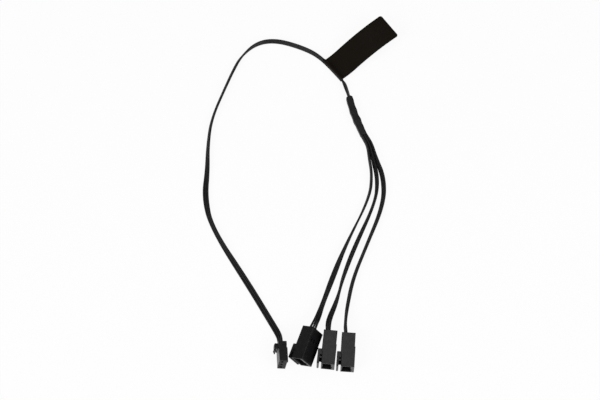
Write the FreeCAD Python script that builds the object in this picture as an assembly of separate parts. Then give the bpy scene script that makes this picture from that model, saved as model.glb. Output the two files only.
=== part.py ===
"""Builds a one-to-three splitter cable for lighting: a latched three-way plug, a flat three-core lead,
a splice under a shrink sleeve, and three flat leads that each end in a latched three-way socket.
A folded flag label hangs on the long lead.

Lengths are millimetres and angles are degrees. The cable lies on the plane z = 0 as it comes to rest,
with the connectors towards -Y. A connector is drawn in its own axes first: u runs from the wires to
the mating face, v along the row of contacts and w towards the latch. The contact row is at w = 0 and
the rear face at u = 0.
"""
import FreeCAD, Part
import math
import os

from FreeCAD import Placement, Rotation, Vector

# Working values of the modelling, not sizes of the part
OVERCUT = 1.0                # a cutting tool reaches past the face that it opens
LAP = 0.2                    # pieces of one moulding reach into each other
NEAR = 0.01
ALIGNED_SHARE = 0.9          # of a unit step along an edge, along an axis
BEND_SHARE = 0.45            # of the shorter run, given to a bend
WIRE_SIDES = 8

# Flat leads
WIRE_DIAMETER = 1.1
WIRE_SPACE = 0.02            # between the wires of a lead
LEAD_SKIN = 0.025            # bonded flat of a lead over its wires
LEAD_SPACE = 0.02            # between leads side by side in the sleeve
EXIT_STRAIGHT = 3.6          # a split wire runs straight behind a housing
SPLIT_LAP = 0.8              # a split wire starts this far inside the flat

# Contacts
CONTACT_PITCH = 2.5
CONTACT_SIZE = 1.9           # square body of a contact
CONTACT_PLAY = 0.2           # cavity over contact, both ways
SHEET = 0.2                  # contact metal
BARREL_SET = 0.9             # insulation barrel behind the rear face
INSULATION_BARREL = 1.7
CONDUCTOR_BARREL = 1.9
BARREL_SPACE = 0.4
BARREL_FIT = 0.01            # between a barrel and the wire in it
CRIMP_CHAMFER = 0.3
LANCE_SETBACK = 0.6          # behind the rear of the contact's box
LANCE_LENGTH = 1.3
LANCE_DEPTH = 0.4
LANCE_WIDTH = 0.7
PIN_SIZE = 0.64
PIN_SETBACK = 3.2            # pin tip behind the socket's mouth
PIN_POINT = 0.8

# Mating pair
MATE_SPACE = 0.15            # all round the nose in the pocket
POCKET_DEPTH = 10.4
SEAT_SPACE = 0.4             # nose end to pocket floor
NOSE_SIDE_WALL = 0.5
NOSE_LATCH_WALL = 0.45
NOSE_KEY_WALL = 1.7
KEY_HEIGHT = 0.7
KEY_WIDTH = 1.2
KEY_AT = 1.25                # key from the middle contact, along the row
KEY_START = 2.2              # key from the plug's rear face
KEY_SETBACK = 1.0            # and from its front

# Plug
PLUG_LENGTH = 12.0
NOSE_FACE = 0.8              # wall in front of the socket contacts
PIN_FUNNEL = 1.5             # square mouth of a pin hole
PIN_HOLE = 1.0
BODY_FLANGE = 0.4            # rear body over the nose
LEVER_LENGTH = 4.8
LEVER_WIDTH = 3.4
LEVER_THICK = 0.7
LEVER_ROOT = 1.2
HOOK_HEIGHT = 0.4
HOOK_LENGTH = 1.0
HOOK_SETBACK = 0.4           # lever tip to hook
HOOK_SIDE = 0.3              # hook narrower than the lever, each side
HOOK_FLAT = 0.3              # level top of the hook
TIP_ROUND = 0.3
GRIP_RIBS = 3
GRIP_PITCH = 0.6
GRIP_HEIGHT = 0.2
GRIP_SIDE = 0.3              # ribs narrower than the lever, each side
GRIP_START = 0.3             # first rib from the rear face

# Socket
SOCKET_LENGTH = 18.8
PARTITION = 0.8              # between the cavities and the pocket
SHROUD_WALL = 0.75
KEY_WALL = 1.05              # left behind the key groove
REAR_STEP = 0.3              # rear block set in from the shroud, key side
REAR_SHOULDER = 0.4          # rear block over the shroud, latch side
BRIDGE_LENGTH = 8.2
BRIDGE_ROOT = 1.4            # bridge behind its legs, on the rear block
BRIDGE_THICK = 1.15
BRIDGE_SIDE = 0.9            # leg thickness
BRIDGE_INSET = 0.1           # legs from the shroud's rounded edges
BRIDGE_OPEN = 3.5            # legs stop short of the mouth
LATCH_SPACE = 0.1
LEG_WINDOW = 1.2             # in the leg on one side
LEG_FRAME = 0.1              # above and below a leg's window
BRIDGE_ROUND = 0.4
MOUTH_LEAD = 0.3             # lead-in at the mouth
EDGE_ROUND = 0.3

# Splice under the shrink sleeve, measured along its axis
SLEEVE_LENGTH = 26.0
SLEEVE_WALL = 0.2
SLEEVE_FIT = 0.06            # beside the leads
SLEEVE_ENTRY = 1.5           # leads bend this far outside the sleeve's ends
LONG_LEAD_IN = 7.5           # long lead inside the sleeve
JOINT_LENGTH = 5.0
JOINT_FAN = 5.0
JOINT_DIAMETER = 0.7
JOINT_COVER = 4.4

# Flag label
LABEL_LENGTH = 41.5
LABEL_WIDTH = 16.3
LABEL_THICK = 0.25
WRAP_THICK = 0.15
WRAP_SPACE = 0.45            # label wrap beside the lead
LABEL_SHIFT = 1.4            # along the lead, from the middle of its run
LABEL_RISE = 18.0            # slope of the flag
LABEL_BEND = 22.0            # radius of its bend beside the lead
LABEL_FLAT = 2.0             # level part beside the lead
LABEL_CORNER = 1.2

# Where the pieces lie: rear face centre, then turn about Z, nose lift and roll about the mating axis
PLUG_LIES = ((-31.6, -93.8), 3.0, 15.0, -11.0)
LEFT_LIES = ((-14.9, -85.9), -20.0, 0.0, 33.0)
MIDDLE_LIES = ((-5.6, -86.9), -6.3, 0.0, 0.0)
RIGHT_LIES = ((4.0, -88.3), -4.0, 0.0, 0.0)
SPLICE_START = (7.4, 57.5)
SPLICE_TURN = -72.2          # sleeve axis about Z, from the long lead to the branches

# Routes of the flat leads on the floor, in x and y. The wires split where a route meets its connector.
LONG_ROUTE = (
    (-37.2, -79.8),
    (-49.7, -58.5),
    (-69.7, -26.0),
    (-75.2, -3.5),
    (-73.7, 24.0),
    (-71.7, 43.5),
    (-63.7, 66.0),
    (-56.2, 84.5),
    (-47.2, 94.0),
    (-35.7, 96.0),
    (-20.7, 91.5),
    (-8.5, 85.6),
    (4.5, 69.0),
)
LEFT_ROUTE = (
    (17.9, 23.0),
    (19.8, 8.5),
    (17.6, -6.0),
    (4.3, -35.0),
    (-2.2, -52.5),
    (-8.7, -69.0),
)
MIDDLE_ROUTE = (
    (19.5, 22.3),
    (23.1, 5.5),
    (20.6, -9.0),
    (8.8, -37.5),
    (2.6, -54.0),
    (-1.7, -69.5),
)
RIGHT_ROUTE = (
    (20.9, 22.5),
    (26.5, 6.0),
    (25.1, -10.5),
    (14.8, -37.0),
    (7.8, -55.0),
    (4.4, -71.5),
)

# Sizes that follow from the ones above
ROWS = (-1, 0, 1)
WIRE_PITCH = WIRE_DIAMETER + WIRE_SPACE
LEAD_THICK = WIRE_DIAMETER + 2 * LEAD_SKIN
LEAD_HALF = WIRE_PITCH + LEAD_THICK / 2
LEAD_PITCH = LEAD_THICK + LEAD_SPACE
LEAD_CORNER = LEAD_THICK / 4
LEAD_REST = LEAD_HALF + max(WRAP_THICK, SLEEVE_WALL)
CAVITY = CONTACT_SIZE + CONTACT_PLAY
CAVITY_LOW = -CONTACT_SIZE / 2
CAVITY_HIGH = CAVITY_LOW + CAVITY
NOSE_HALF = CONTACT_PITCH + CAVITY / 2 + NOSE_SIDE_WALL
NOSE_HIGH = CAVITY_HIGH + NOSE_LATCH_WALL
NOSE_LOW = CAVITY_LOW - NOSE_KEY_WALL
NOSE_LENGTH = POCKET_DEPTH - SEAT_SPACE
POCKET_HALF = NOSE_HALF + MATE_SPACE
POCKET_HIGH = NOSE_HIGH + MATE_SPACE
POCKET_LOW = NOSE_LOW - MATE_SPACE
SHROUD_HALF = POCKET_HALF + SHROUD_WALL
SHROUD_HIGH = POCKET_HIGH + SHROUD_WALL
SHROUD_LOW = POCKET_LOW - KEY_HEIGHT - MATE_SPACE - KEY_WALL
REAR_HIGH = SHROUD_HIGH + REAR_SHOULDER
LEVER_TIP_LOW = SHROUD_HIGH + HOOK_HEIGHT
LEVER_TIP_HIGH = LEVER_TIP_LOW + LEVER_THICK
BRIDGE_LOW = LEVER_TIP_HIGH + LATCH_SPACE
BRIDGE_HIGH = BRIDGE_LOW + BRIDGE_THICK
BRIDGE_HALF = SHROUD_HALF - EDGE_ROUND - BRIDGE_INSET
LEVER_HALF = LEVER_WIDTH / 2
BRIDGE_BACK = SOCKET_LENGTH - BRIDGE_LENGTH
BRIDGE_LEGS = BRIDGE_BACK + BRIDGE_ROOT
POCKET_FLOOR = SOCKET_LENGTH - POCKET_DEPTH
SOCKET_CAVITY_END = POCKET_FLOOR - PARTITION
PLUG_CAVITY_END = PLUG_LENGTH - NOSE_FACE
WIRE_END = BARREL_SET + INSULATION_BARREL + BARREL_SPACE
BOX_START = WIRE_END + CONDUCTOR_BARREL + BARREL_SPACE
LANCE_START = BOX_START + LANCE_SETBACK
SLEEVE_HALF = LEAD_PITCH + LEAD_THICK / 2 + SLEEVE_FIT
SHORT_LEAD_IN = LONG_LEAD_IN + JOINT_LENGTH + JOINT_FAN


def edges_along(solid, axis):
    """The straight edges of a solid that run along an axis."""
    return [
        edge for edge in solid.Edges
        if abs(edge.tangentAt(edge.FirstParameter).dot(axis)) > ALIGNED_SHARE
    ]


def block(u, v, w, rounded=0.0):
    """A block between limits along u, v and w, with its edges along u rounded."""
    solid = Part.makeBox(u[1] - u[0], v[1] - v[0], w[1] - w[0], Vector(u[0], v[0], w[0]))
    if rounded:
        solid = solid.makeFillet(rounded, edges_along(solid, Vector(1, 0, 0)))
    return solid


def rod(start, length, diameter):
    """A round bar along u from a start point."""
    return Part.makeCylinder(diameter / 2, length, start, Vector(1, 0, 0))


def prism(outline, half_width):
    """An outline in u and w, extruded both ways along v."""
    corners = [Vector(u, -half_width, w) for u, w in outline]
    face = Part.Face(Part.makePolygon(corners + corners[:1]))
    return face.extrude(Vector(0, 2 * half_width, 0))


def square(u, size, v):
    """A closed square across u, in line with a contact."""
    half = size / 2
    corners = [Vector(u, v + a * half, b * half) for a, b in ((-1, -1), (1, -1), (1, 1), (-1, 1))]
    return Part.makePolygon(corners + corners[:1])


def joined(pieces):
    """One solid from pieces that meet."""
    whole = pieces[0].multiFuse(pieces[1:]).removeSplitter()
    if len(whole.Solids) != 1:
        raise ValueError(f"{len(whole.Solids)} solids where one was meant")
    return whole.Solids[0]


def cleared(solid, tools):
    """A solid with openings cut into it."""
    whole = solid.cut(tools).removeSplitter()
    if len(whole.Solids) != 1:
        raise ValueError(f"{len(whole.Solids)} solids where one was meant")
    return whole.Solids[0]


def contact_rows():
    """Distance along the row of each contact, lowest first."""
    return [row * CONTACT_PITCH for row in ROWS]


def cavities(end):
    """Contact cavities from the rear face to a depth."""
    half = CAVITY / 2
    return [block((-OVERCUT, end), (v - half, v + half), (CAVITY_LOW, CAVITY_HIGH)) for v in contact_rows()]


def lance_windows(low):
    """Openings through the key-side wall for the contacts' lances."""
    half = LANCE_WIDTH / 2 + CONTACT_PLAY
    ends = (LANCE_START - CONTACT_PLAY, LANCE_START + LANCE_LENGTH + CONTACT_PLAY)
    return [block(ends, (v - half, v + half), (low - OVERCUT, CAVITY_LOW + LAP)) for v in contact_rows()]


def lever():
    """The plug's latch lever, with its hook and grip ribs."""
    under = SHROUD_HIGH + MATE_SPACE
    root_high = under + LEVER_THICK
    outline = [
        (0, NOSE_HIGH),
        (LEVER_ROOT, NOSE_HIGH),
        (LEVER_ROOT, under),
        (LEVER_LENGTH, LEVER_TIP_LOW),
        (LEVER_LENGTH, LEVER_TIP_HIGH),
        (0, root_high),
    ]
    arm = prism(outline, LEVER_HALF)
    tip = [edge for edge in edges_along(arm, Vector(0, 1, 0)) if edge.CenterOfMass.x > LEVER_LENGTH - NEAR]
    arm = arm.makeFillet(TIP_ROUND, tip)
    slope = (LEVER_TIP_HIGH - root_high) / LEVER_LENGTH
    front = LEVER_LENGTH - HOOK_SETBACK
    back = front - HOOK_LENGTH
    hook = prism(
        [
            (back, LEVER_TIP_LOW + LAP),
            (front, LEVER_TIP_LOW + LAP),
            (front, LEVER_TIP_HIGH - NEAR),
            (back + HOOK_FLAT, LEVER_TIP_HIGH + HOOK_HEIGHT),
            (back, LEVER_TIP_HIGH + HOOK_HEIGHT),
        ],
        LEVER_HALF - HOOK_SIDE,
    )
    ribs = []
    rib_half = LEVER_HALF - GRIP_SIDE
    for rib in range(GRIP_RIBS):
        u = GRIP_START + rib * GRIP_PITCH
        face = root_high + slope * u
        ribs.append(block((u, u + GRIP_PITCH / 2), (-rib_half, rib_half), (face - LAP, face + GRIP_HEIGHT)))
    return joined([arm, hook] + ribs)


def plug_housing():
    """Plug moulding: rear body, keyed nose, contact cavities and latch lever."""
    rear = PLUG_LENGTH - NOSE_LENGTH
    body = block(
        (0, rear),
        (-NOSE_HALF - BODY_FLANGE, NOSE_HALF + BODY_FLANGE),
        (NOSE_LOW, NOSE_HIGH + BODY_FLANGE),
        EDGE_ROUND,
    )
    nose = block((rear - LAP, PLUG_LENGTH), (-NOSE_HALF, NOSE_HALF), (NOSE_LOW, NOSE_HIGH), EDGE_ROUND)
    key = block(
        (KEY_START, PLUG_LENGTH - KEY_SETBACK),
        (KEY_AT - KEY_WIDTH / 2, KEY_AT + KEY_WIDTH / 2),
        (NOSE_LOW - KEY_HEIGHT, NOSE_LOW + LAP),
    )
    holes = []
    through = (PLUG_CAVITY_END - LAP, PLUG_LENGTH + OVERCUT)
    half = PIN_HOLE / 2
    for v in contact_rows():
        holes.append(block(through, (v - half, v + half), (-half, half)))
        funnel = [square(PLUG_LENGTH - NOSE_FACE / 2, PIN_HOLE, v), square(PLUG_LENGTH, PIN_FUNNEL, v)]
        holes.append(Part.makeLoft(funnel, True, True))
    moulding = joined([body, nose, key, lever()])
    return cleared(moulding, cavities(PLUG_CAVITY_END) + lance_windows(NOSE_LOW) + holes)


def bridge():
    """The socket's latch bridge: a root, a plate on two legs and the window for the lever's hook."""
    plate = block((BRIDGE_BACK, SOCKET_LENGTH), (-BRIDGE_HALF, BRIDGE_HALF), (BRIDGE_LOW, BRIDGE_HIGH))
    ends = [
        edge for edge in edges_along(plate, Vector(0, 1, 0))
        if edge.CenterOfMass.x > SOCKET_LENGTH - NEAR or edge.CenterOfMass.z > BRIDGE_HIGH - NEAR
    ]
    plate = plate.makeFillet(BRIDGE_ROUND, ends)
    root = block((BRIDGE_BACK, BRIDGE_LEGS), (-BRIDGE_HALF, BRIDGE_HALF), (REAR_HIGH - LAP, BRIDGE_LOW + LAP))
    legs = [
        block(
            (BRIDGE_LEGS - LAP, SOCKET_LENGTH - BRIDGE_OPEN),
            tuple(sorted((side * BRIDGE_HALF, side * (BRIDGE_HALF - BRIDGE_SIDE)))),
            (SHROUD_HIGH - LAP, BRIDGE_LOW + LAP),
        )
        for side in (-1, 1)
    ]
    hook_back = POCKET_FLOOR + SEAT_SPACE + PLUG_LENGTH - (LEVER_LENGTH - HOOK_SETBACK - HOOK_LENGTH)
    half = LEVER_HALF - HOOK_SIDE + MATE_SPACE
    window = block(
        (hook_back - HOOK_LENGTH - MATE_SPACE, hook_back + MATE_SPACE),
        (-half, half),
        (BRIDGE_LOW - OVERCUT, BRIDGE_HIGH + OVERCUT),
    )
    middle = SOCKET_LENGTH - BRIDGE_OPEN - LEG_WINDOW
    sight = block(
        (middle - LEG_WINDOW / 2, middle + LEG_WINDOW / 2),
        (0, BRIDGE_HALF + OVERCUT),
        (SHROUD_HIGH + LEG_FRAME, BRIDGE_LOW - LEG_FRAME),
    )
    return [plate, root] + legs, [window, sight]


def socket_housing():
    """Socket moulding: rear block with cavities, keyed pocket round the pins, and latch bridge."""
    rear = block(
        (0, BRIDGE_LEGS),
        (-SHROUD_HALF, SHROUD_HALF),
        (SHROUD_LOW + REAR_STEP, REAR_HIGH),
        EDGE_ROUND,
    )
    shroud = block(
        (POCKET_FLOOR - PARTITION, SOCKET_LENGTH),
        (-SHROUD_HALF, SHROUD_HALF),
        (SHROUD_LOW, SHROUD_HIGH),
        EDGE_ROUND,
    )
    pocket = block(
        (POCKET_FLOOR, SOCKET_LENGTH + OVERCUT),
        (-POCKET_HALF, POCKET_HALF),
        (POCKET_LOW, POCKET_HIGH),
    )
    lead_in = block(
        (SOCKET_LENGTH - MOUTH_LEAD, SOCKET_LENGTH + OVERCUT),
        (-POCKET_HALF - MOUTH_LEAD, POCKET_HALF + MOUTH_LEAD),
        (POCKET_LOW - MOUTH_LEAD, POCKET_HIGH + MOUTH_LEAD),
    )
    groove_half = KEY_WIDTH / 2 + MATE_SPACE
    groove = block(
        (POCKET_FLOOR, SOCKET_LENGTH + OVERCUT),
        (-KEY_AT - groove_half, -KEY_AT + groove_half),
        (POCKET_LOW - KEY_HEIGHT, POCKET_LOW + LAP),
    )
    half = PIN_SIZE / 2 + CONTACT_PLAY / 2
    pin_holes = [
        block((SOCKET_CAVITY_END - LAP, POCKET_FLOOR + LAP), (v - half, v + half), (-half, half))
        for v in contact_rows()
    ]
    pieces, windows = bridge()
    moulding = cleared(joined([rear, shroud] + pieces), windows)
    openings = [pocket, lead_in, groove] + pin_holes
    return cleared(moulding, openings + cavities(SOCKET_CAVITY_END) + lance_windows(SHROUD_LOW))


def crimp(u, v, size):
    """An eight-sided bar along u, as a closed crimp is."""
    half = size / 2
    bar = block(u, (v - half, v + half), (-half, half))
    return bar.makeChamfer(CRIMP_CHAMFER, edges_along(bar, Vector(1, 0, 0)))


def contact_tail(v):
    """Crimped rear of a contact: insulation barrel, conductor barrel and the strip from them to the box."""
    bore = WIRE_DIAMETER + 2 * BARREL_FIT
    outside = bore + 2 * SHEET
    barrel = crimp((BARREL_SET, BARREL_SET + INSULATION_BARREL), v, outside)
    barrel = barrel.cut(rod(Vector(BARREL_SET - OVERCUT, v, 0), INSULATION_BARREL + 2 * OVERCUT, bore))
    grip = crimp((WIRE_END, WIRE_END + CONDUCTOR_BARREL), v, outside)
    strip = block(
        (BARREL_SET, BOX_START + SHEET / 2),
        (v - outside / 4, v + outside / 4),
        (-outside / 2, -bore / 2),
    )
    return [barrel, strip, grip]


def contact_lance(v):
    """Sprung tongue under a contact's box."""
    outline = [
        (LANCE_START, CAVITY_LOW + SHEET / 2),
        (LANCE_START, CAVITY_LOW - LANCE_DEPTH),
        (LANCE_START + SHEET, CAVITY_LOW - LANCE_DEPTH),
        (LANCE_START + LANCE_LENGTH, CAVITY_LOW),
        (LANCE_START + LANCE_LENGTH, CAVITY_LOW + SHEET / 2),
    ]
    return prism(outline, LANCE_WIDTH / 2).translated(Vector(0, v, 0))


def socket_contact(v):
    """Box contact of the plug, open to the front for a pin."""
    half = CONTACT_SIZE / 2
    end = PLUG_CAVITY_END - CONTACT_PLAY / 2
    box = block((BOX_START, end), (v - half, v + half), (-half, half))
    inside = half - SHEET
    hollow = block((BOX_START + SHEET, end + OVERCUT), (v - inside, v + inside), (-inside, inside))
    return joined([box.cut(hollow), contact_lance(v)] + contact_tail(v))


def pin_contact(v):
    """Pin contact of a socket, with a pointed square pin."""
    half = CONTACT_SIZE / 2
    end = SOCKET_CAVITY_END - CONTACT_PLAY / 2
    box = block((BOX_START, end), (v - half, v + half), (-half, half))
    tip = SOCKET_LENGTH - PIN_SETBACK
    thin = PIN_SIZE / 2
    pin = block((end - LAP, tip - PIN_POINT), (v - thin, v + thin), (-thin, thin))
    point = Part.makeLoft([square(tip - PIN_POINT, PIN_SIZE, v), square(tip, thin, v)], True, True)
    return joined([box, pin, point, contact_lance(v)] + contact_tail(v))


def lie(housing, lies):
    """Placement that lays a connector on the floor, row of contacts upright and mating face towards -Y."""
    (x, y), turn, lift, roll = lies
    own = Rotation(Vector(0, -1, 0), Vector(0, 0, 1), Vector(-1, 0, 0))
    rotation = Rotation(Vector(0, 0, 1), turn)
    rotation = rotation.multiply(Rotation(Vector(1, 0, 0), -lift))
    rotation = rotation.multiply(Rotation(Vector(0, -1, 0), roll))
    rotation = rotation.multiply(own)
    low = housing.transformed(Placement(Vector(), rotation).toMatrix()).optimalBoundingBox().ZMin
    return Placement(Vector(x, y, -low), rotation)


def splice_place():
    """Placement of the splice: its axis along the sleeve, z upright."""
    return Placement(Vector(*SPLICE_START, LEAD_REST), Rotation(Vector(0, 0, 1), SPLICE_TURN))


def rounded_path(points):
    """Straight runs joined by tangent arcs, and the smallest radius of the arcs."""
    edges = []
    radii = []
    start = points[0]
    for before, corner, after in zip(points, points[1:], points[2:]):
        back = before - corner
        ahead = after - corner
        half_turn = (math.pi - back.getAngle(ahead)) / 2
        cut = BEND_SHARE * min(back.Length, ahead.Length)
        radius = cut / math.tan(half_turn)
        back.normalize()
        ahead.normalize()
        inwards = back + ahead
        inwards.normalize()
        centre = corner + inwards * (radius / math.cos(half_turn))
        edges.append(Part.makeLine(start, corner + back * cut))
        edges.append(Part.Arc(corner + back * cut, centre - inwards * radius, corner + ahead * cut).toShape())
        radii.append(radius)
        start = corner + ahead * cut
    edges.append(Part.makeLine(start, points[-1]))
    return Part.Wire(edges), min(radii)


def section(start, towards, outline):
    """A face across the direction from a start point, from an outline sideways and upwards."""
    along = towards - start
    along.normalize()
    side = Vector(0, 0, 1).cross(along)
    side.normalize()
    rise = along.cross(side)
    corners = [start + side * a + rise * b for a, b in outline]
    return Part.Face(Part.makePolygon(corners + corners[:1]))


def flat_outline():
    """Outline of a flat lead on edge, with its corners taken off."""
    half = LEAD_THICK / 2
    quarter = [(half - LEAD_CORNER, LEAD_HALF), (half, LEAD_HALF - LEAD_CORNER)]
    right = quarter + [(a, -b) for a, b in reversed(quarter)]
    return right + [(-a, b) for a, b in reversed(right)]


def wire_outline():
    """Outline of a split wire, with plain sides."""
    turns = [math.tau * side / WIRE_SIDES for side in range(WIRE_SIDES)]
    return [(WIRE_DIAMETER / 2 * math.cos(turn), WIRE_DIAMETER / 2 * math.sin(turn)) for turn in turns]


def split_wires(place, split, before):
    """The three wires of a lead from where it splits to their contacts, and the tightest bend of them."""
    along = split - before
    along.normalize()
    wires = []
    radii = []
    for row in ROWS:
        v = row * CONTACT_PITCH
        points = [
            split - along * SPLIT_LAP + Vector(0, 0, row * WIRE_PITCH),
            place.multVec(Vector(-EXIT_STRAIGHT, v, 0)),
            place.multVec(Vector(WIRE_END, v, 0)),
        ]
        path, radius = rounded_path(points)
        wires.append(path.makePipe(section(points[0], points[1], wire_outline())).Solids[0])
        radii.append(radius)
    return wires, min(radii)


def lead(name, spliced, route, place):
    """A flat lead from its two points in the splice along its route, split into wires at a connector."""
    points = spliced + [Vector(x, y, LEAD_REST) for x, y in route]
    path, radius = rounded_path(points)
    across = section(points[0], points[1], flat_outline())
    flat = path.makePipe(across).Solids[0]
    wires, wire_radius = split_wires(place, points[-1], points[-2])
    print(
        f"{name}: flat {path.Length:.1f} mm, tightest bend {radius:.1f} mm, "
        f"volume {flat.Volume / (across.Area * path.Length):.4f} of section times length, "
        f"split wires bend {wire_radius:.1f} mm"
    )
    return joined([flat] + wires)


def long_lead(place):
    """The lead from the splice to the plug."""
    splice = splice_place()
    spliced = [splice.multVec(Vector(along, 0, 0)) for along in (LONG_LEAD_IN, -SLEEVE_ENTRY)]
    return lead("long lead", spliced, tuple(reversed(LONG_ROUTE)), place)


def short_lead(name, side, route, place):
    """A lead from the splice to a socket. Side puts it left, middle or right in the sleeve."""
    splice = splice_place()
    spliced = [
        splice.multVec(Vector(along, side * LEAD_PITCH, 0))
        for along in (SHORT_LEAD_IN, SLEEVE_LENGTH + SLEEVE_ENTRY)
    ]
    return lead(f"{name} lead", spliced, route, place)


def splice_sleeve():
    """Outer shrink sleeve, square in section with round corners, over all the leads of the splice."""
    half = SLEEVE_HALF + SLEEVE_WALL
    rise = LEAD_HALF + SLEEVE_WALL
    tube = block((0, SLEEVE_LENGTH), (-half, half), (-rise, rise), LEAD_CORNER + SLEEVE_WALL)
    bore = block(
        (-OVERCUT, SLEEVE_LENGTH + OVERCUT),
        (-SLEEVE_HALF, SLEEVE_HALF),
        (-LEAD_HALF, LEAD_HALF),
        LEAD_CORNER,
    )
    return cleared(tube, [bore])


def splice_joint(row):
    """Soldered joint of one core: a round end for the long lead, fanned out to the three branches."""
    height = row * WIRE_PITCH
    core = rod(Vector(LONG_LEAD_IN, 0, height), JOINT_LENGTH + JOINT_DIAMETER, JOINT_DIAMETER)
    near = JOINT_DIAMETER / 2
    far = LEAD_PITCH + WIRE_DIAMETER / 4
    start = LONG_LEAD_IN + JOINT_LENGTH
    low = height - JOINT_DIAMETER / 3
    corners = [
        Vector(start, -near, low),
        Vector(start + JOINT_FAN, -far, low),
        Vector(start + JOINT_FAN, far, low),
        Vector(start, near, low),
    ]
    fan = Part.Face(Part.makePolygon(corners + corners[:1])).extrude(Vector(0, 0, JOINT_DIAMETER * 2 / 3))
    return joined([core, fan])


def joint_cover(row):
    """Inner shrink tube that keeps one joint from its neighbours."""
    height = row * WIRE_PITCH
    start = LONG_LEAD_IN + (JOINT_LENGTH - JOINT_COVER) / 2
    tube = rod(Vector(start, 0, height), JOINT_COVER, WIRE_DIAMETER)
    bore = rod(Vector(start - OVERCUT, 0, height), JOINT_COVER + 2 * OVERCUT, JOINT_DIAMETER)
    return cleared(tube, [bore])


def label():
    """Flag label: a wrap round the long lead, and two layers stuck together that rise away from it."""
    first, last = (Vector(x, y, LEAD_REST) for x, y in LONG_ROUTE[-2:])
    run = last - first
    turn = math.degrees(math.atan2(run.y, run.x))
    inner_half = LEAD_THICK / 2 + WRAP_SPACE
    outer_half = inner_half + WRAP_THICK
    outer_rise = LEAD_HALF + WRAP_THICK
    half = LABEL_WIDTH / 2
    wrap = block((-half, half), (-outer_half, outer_half), (-outer_rise, outer_rise), WRAP_SPACE + WRAP_THICK)
    bore = block(
        (-half - OVERCUT, half + OVERCUT),
        (-inner_half, inner_half),
        (-LEAD_HALF, LEAD_HALF),
        WRAP_SPACE,
    )
    rise = math.radians(LABEL_RISE)
    start = outer_half - WRAP_THICK / 2
    bend_at = start + LABEL_FLAT
    straight = LABEL_LENGTH - LABEL_FLAT - LABEL_BEND * rise
    edges = []
    for offset in (-LABEL_THICK / 2, LABEL_THICK / 2):
        radius = LABEL_BEND - offset
        at = [
            Vector(-half, start, offset),
            Vector(-half, bend_at, offset),
            Vector(-half, bend_at + radius * math.sin(rise / 2), LABEL_BEND - radius * math.cos(rise / 2)),
            Vector(-half, bend_at + radius * math.sin(rise), LABEL_BEND - radius * math.cos(rise)),
        ]
        end = at[3] + Vector(0, math.cos(rise), math.sin(rise)) * straight
        edges.append((at, end))
    (low, low_end), (high, high_end) = edges
    outline = Part.Wire([
        Part.makeLine(low[0], low[1]),
        Part.Arc(low[1], low[2], low[3]).toShape(),
        Part.makeLine(low[3], low_end),
        Part.makeLine(low_end, high_end),
        Part.makeLine(high_end, high[3]),
        Part.Arc(high[3], high[2], high[1]).toShape(),
        Part.makeLine(high[1], high[0]),
        Part.makeLine(high[0], low[0]),
    ])
    flag = Part.Face(outline).extrude(Vector(LABEL_WIDTH, 0, 0))
    corners = [
        edge for edge in flag.Edges
        if abs(edge.Length - LABEL_THICK) < NEAR and edge.CenterOfMass.y > LABEL_LENGTH / 2
    ]
    flag = flag.makeFillet(LABEL_CORNER, corners)
    folded = cleared(joined([wrap, flag]), [bore])
    centre = (first + last) / 2 + run * (LABEL_SHIFT / run.Length)
    return folded.transformed(Placement(centre, Rotation(Vector(0, 0, 1), turn)).toMatrix())


def placed(solid, place):
    """A solid moved from its own axes to where it lies."""
    return solid.transformed(place.toMatrix())


def build():
    """Every piece by node name."""
    pieces = {}
    plug = plug_housing()
    plug_place = lie(plug, PLUG_LIES)
    pieces["plug_housing"] = placed(plug, plug_place)
    for number, v in enumerate(contact_rows(), 1):
        pieces[f"plug_contact_{number}"] = placed(socket_contact(v), plug_place)
    pieces["long_lead"] = long_lead(plug_place)
    housing = socket_housing()
    branches = (
        ("left", -1, LEFT_LIES, LEFT_ROUTE),
        ("middle", 0, MIDDLE_LIES, MIDDLE_ROUTE),
        ("right", 1, RIGHT_LIES, RIGHT_ROUTE),
    )
    for name, side, lies, route in branches:
        place = lie(housing, lies)
        pieces[f"{name}_socket_housing"] = placed(housing, place)
        for number, v in enumerate(contact_rows(), 1):
            pieces[f"{name}_contact_{number}"] = placed(pin_contact(v), place)
        pieces[f"{name}_lead"] = short_lead(name, side, route, place)
    splice = splice_place()
    pieces["splice_sleeve"] = placed(splice_sleeve(), splice)
    for number, row in enumerate(ROWS, 1):
        pieces[f"splice_joint_{number}"] = placed(splice_joint(row), splice)
        pieces[f"joint_cover_{number}"] = placed(joint_cover(row), splice)
    pieces["flag_label"] = label()
    return pieces


def main():
    """Builds every piece and writes one STEP file for each."""
    os.makedirs("parts", exist_ok=True)
    for name, solid in build().items():
        if not solid.isValid():
            raise ValueError(f"{name} is not a valid solid")
        solid.exportStep(f"parts/{name}.step")


main()
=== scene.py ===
"""Dresses the one-to-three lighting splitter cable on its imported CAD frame, in metres and in its axes."""
import math

import bmesh
import bpy
from mathutils import Matrix, Vector


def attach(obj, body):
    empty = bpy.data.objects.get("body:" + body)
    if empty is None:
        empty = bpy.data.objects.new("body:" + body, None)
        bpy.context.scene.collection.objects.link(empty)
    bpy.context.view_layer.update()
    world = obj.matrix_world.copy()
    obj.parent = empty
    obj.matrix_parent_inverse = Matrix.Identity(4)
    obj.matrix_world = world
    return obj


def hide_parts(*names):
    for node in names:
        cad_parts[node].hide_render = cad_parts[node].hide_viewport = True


bl_info = {
    "name": "Splitter cable",
    "version": (1, 0, 0),
    "blender": (4, 5, 0),
    "location": "View3D > Sidebar > Splitter",
    "description": "Flat leads, shrink sleeve, label and finishes of a one-to-three lighting splitter cable",
    "category": "Object",
}

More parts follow.
